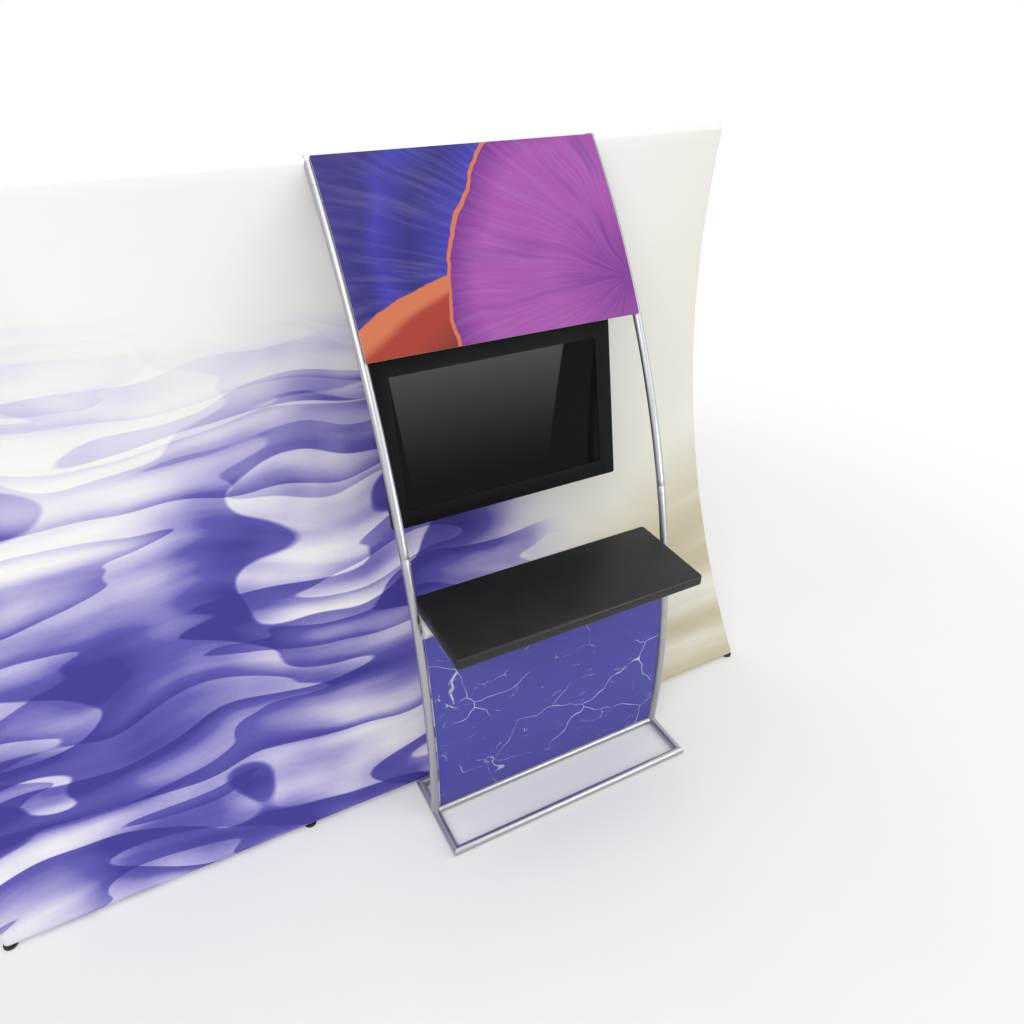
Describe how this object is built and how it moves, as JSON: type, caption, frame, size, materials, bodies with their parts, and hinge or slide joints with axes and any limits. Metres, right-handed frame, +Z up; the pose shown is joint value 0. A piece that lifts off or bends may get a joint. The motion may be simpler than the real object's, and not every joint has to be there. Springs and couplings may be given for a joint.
{
  "type": "pop up display backwall",
  "caption": "Stretched-fabric curved backwall on a tube frame, with a curved media ladder that carries a header panel, a tilting monitor, a shelf and a lower panel.",
  "frame": {"origin": "on the floor under the middle of the whole object's box", "axes": "+X to the viewer's right along the wall, +Y away from the viewer, +Z up"},
  "size_m": [3.0492, 0.963, 2.2332],
  "materials": {
    "cover_fabric": "white stretch polyester, dye printed with pale violet washes",
    "zip_tape": "white coil zip on woven tape",
    "zip_metal": "die-cast, bright",
    "wall_tube": "mill-finish tube",
    "ladder_tube": "satin silver tube",
    "snap_button": "polished",
    "foot_plate": "black powder coat",
    "header_print": "satin printed sheet in blue, violet, magenta and red",
    "lower_print": "satin printed sheet, blue-violet with fine white lines",
    "shelf_board": "board with a black satin laminate and rounded edges",
    "shelf_bracket": "light grey powder coat",
    "hanger_steel": "black powder coat",
    "monitor_case": "black, satin frame and fine-grained back",
    "monitor_key": "black satin",
    "screen_glass": "dark and glossy",
    "knob_plastic": "black, moulded"
  },
  "bodies": {
    "backwall_and_ladder": {"left_end_post_lower": "wall_tube", "left_end_post_upper": "wall_tube", "left_middle_post_lower": "wall_tube", "left_middle_post_upper": "wall_tube", "right_middle_post_lower": "wall_tube", "right_middle_post_upper": "wall_tube", "right_end_post_lower": "wall_tube", "right_end_post_upper": "wall_tube", "left_bottom_rail": "wall_tube", "left_top_rail": "wall_tube", "middle_bottom_rail": "wall_tube", "middle_top_rail": "wall_tube", "right_bottom_rail": "wall_tube", "right_top_rail": "wall_tube", "fabric_cover": "cover_fabric", "zip_chain": "zip_tape", "base_left_bar": "ladder_tube", "left_upright_lower": "ladder_tube", "left_upright_upper": "ladder_tube", "left_upright_head": "ladder_tube", "left_joint_sleeve": "wall_tube", "base_right_bar": "ladder_tube", "right_upright_lower": "ladder_tube", "right_upright_upper": "ladder_tube", "right_upright_head": "ladder_tube", "right_joint_sleeve": "wall_tube", "base_front_bar": "ladder_tube", "base_back_bar": "ladder_tube", "base_middle_bar": "ladder_tube", "shelf_bar": "ladder_tube", "header_lower_bar": "ladder_tube", "header_upper_bar": "ladder_tube", "header_panel": "header_print", "lower_panel": "lower_print", "shelf": "shelf_board", "left_shelf_bracket": "shelf_bracket", "right_shelf_bracket": "shelf_bracket", "left_hanger_arm": "hanger_steel", "right_hanger_arm": "hanger_steel"},
    "left_end_foot": {"left_end_foot": "foot_plate"},
    "left_middle_foot": {"left_middle_foot": "foot_plate"},
    "right_middle_foot": {"right_middle_foot": "foot_plate"},
    "right_end_foot": {"right_end_foot": "foot_plate"},
    "zip_slider": {"zip_slider": "zip_metal"},
    "zip_pull": {"zip_pull": "zip_metal"},
    "left_lower_snap_button": {"left_lower_snap_button": "snap_button"},
    "left_upper_snap_button": {"left_upper_snap_button": "snap_button"},
    "right_lower_snap_button": {"right_lower_snap_button": "snap_button"},
    "right_upper_snap_button": {"right_upper_snap_button": "snap_button"},
    "monitor": {"monitor_bezel": "monitor_case", "monitor_screen": "screen_glass", "monitor_back": "monitor_case", "power_inlet": "monitor_case", "tilt_frame": "hanger_steel"},
    "power_key": {"power_key": "monitor_key"},
    "volume_up_key": {"volume_up_key": "monitor_key"},
    "volume_down_key": {"volume_down_key": "monitor_key"},
    "left_tilt_knob": {"left_tilt_knob": "knob_plastic"},
    "right_tilt_knob": {"right_tilt_knob": "knob_plastic"}
  },
  "joints": [
    {"name": "monitor_tilt", "type": "hinge", "parent": "backwall_and_ladder", "child": "monitor", "pos_m": [0.434, 0.26199, 1.52351], "axis": [1, 0, 0], "range_deg": [-5, 10]},
    {"name": "left_tilt_knob_turn", "type": "hinge", "parent": "monitor", "child": "left_tilt_knob", "pos_m": [0.2604, 0.26199, 1.52351], "axis": [1, 0, 0], "range_deg": [0, 360]},
    {"name": "right_tilt_knob_turn", "type": "hinge", "parent": "monitor", "child": "right_tilt_knob", "pos_m": [0.6076, 0.26199, 1.52351], "axis": [-1, 0, 0], "range_deg": [0, 360]},
    {"name": "power_key_press", "type": "slide", "parent": "monitor", "child": "power_key", "axis": [-1, 0, 0], "range_m": [0, 0.001], "stiffness_N_per_m": 1500, "springref_m": -0.0005},
    {"name": "volume_up_key_press", "type": "slide", "parent": "monitor", "child": "volume_up_key", "axis": [-1, 0, 0], "range_m": [0, 0.001], "stiffness_N_per_m": 1500, "springref_m": -0.0005},
    {"name": "volume_down_key_press", "type": "slide", "parent": "monitor", "child": "volume_down_key", "axis": [-1, 0, 0], "range_m": [0, 0.001], "stiffness_N_per_m": 1500, "springref_m": -0.0005},
    {"name": "left_lower_snap_button_press", "type": "slide", "parent": "backwall_and_ladder", "child": "left_lower_snap_button", "axis": [-1, 0, 0], "range_m": [0, 0.005], "stiffness_N_per_m": 1000, "springref_m": -0.002},
    {"name": "left_upper_snap_button_press", "type": "slide", "parent": "backwall_and_ladder", "child": "left_upper_snap_button", "axis": [-1, 0, 0], "range_m": [0, 0.005], "stiffness_N_per_m": 1000, "springref_m": -0.002},
    {"name": "right_lower_snap_button_press", "type": "slide", "parent": "backwall_and_ladder", "child": "right_lower_snap_button", "axis": [1, 0, 0], "range_m": [0, 0.005], "stiffness_N_per_m": 1000, "springref_m": -0.002},
    {"name": "right_upper_snap_button_press", "type": "slide", "parent": "backwall_and_ladder", "child": "right_upper_snap_button", "axis": [1, 0, 0], "range_m": [0, 0.005], "stiffness_N_per_m": 1000, "springref_m": -0.002},
    {"name": "left_end_foot_swivel", "type": "hinge", "parent": "backwall_and_ladder", "child": "left_end_foot", "pos_m": [-1.5026, -0.09056, 0.02], "axis": [0, 0, 1], "range_deg": [-90, 0]},
    {"name": "left_middle_foot_swivel", "type": "hinge", "parent": "backwall_and_ladder", "child": "left_middle_foot", "pos_m": [-0.50087, -0.09056, 0.02], "axis": [0, 0, 1], "range_deg": [0, 90]},
    {"name": "right_middle_foot_swivel", "type": "hinge", "parent": "backwall_and_ladder", "child": "right_middle_foot", "pos_m": [0.50087, -0.09056, 0.02], "axis": [0, 0, 1], "range_deg": [-90, 0]},
    {"name": "right_end_foot_swivel", "type": "hinge", "parent": "backwall_and_ladder", "child": "right_end_foot", "pos_m": [1.5026, -0.09056, 0.02], "axis": [0, 0, 1], "range_deg": [0, 90]},
    {"name": "zip_slide", "type": "slide", "parent": "backwall_and_ladder", "child": "zip_slider", "axis": [-1, 0, 0], "range_m": [0, 2.827]},
    {"name": "zip_pull_swing", "type": "hinge", "parent": "zip_slider", "child": "zip_pull", "pos_m": [1.414, -0.02106, 0.08177], "axis": [1, 0, 0], "range_deg": [-30, 120]}
  ]
}
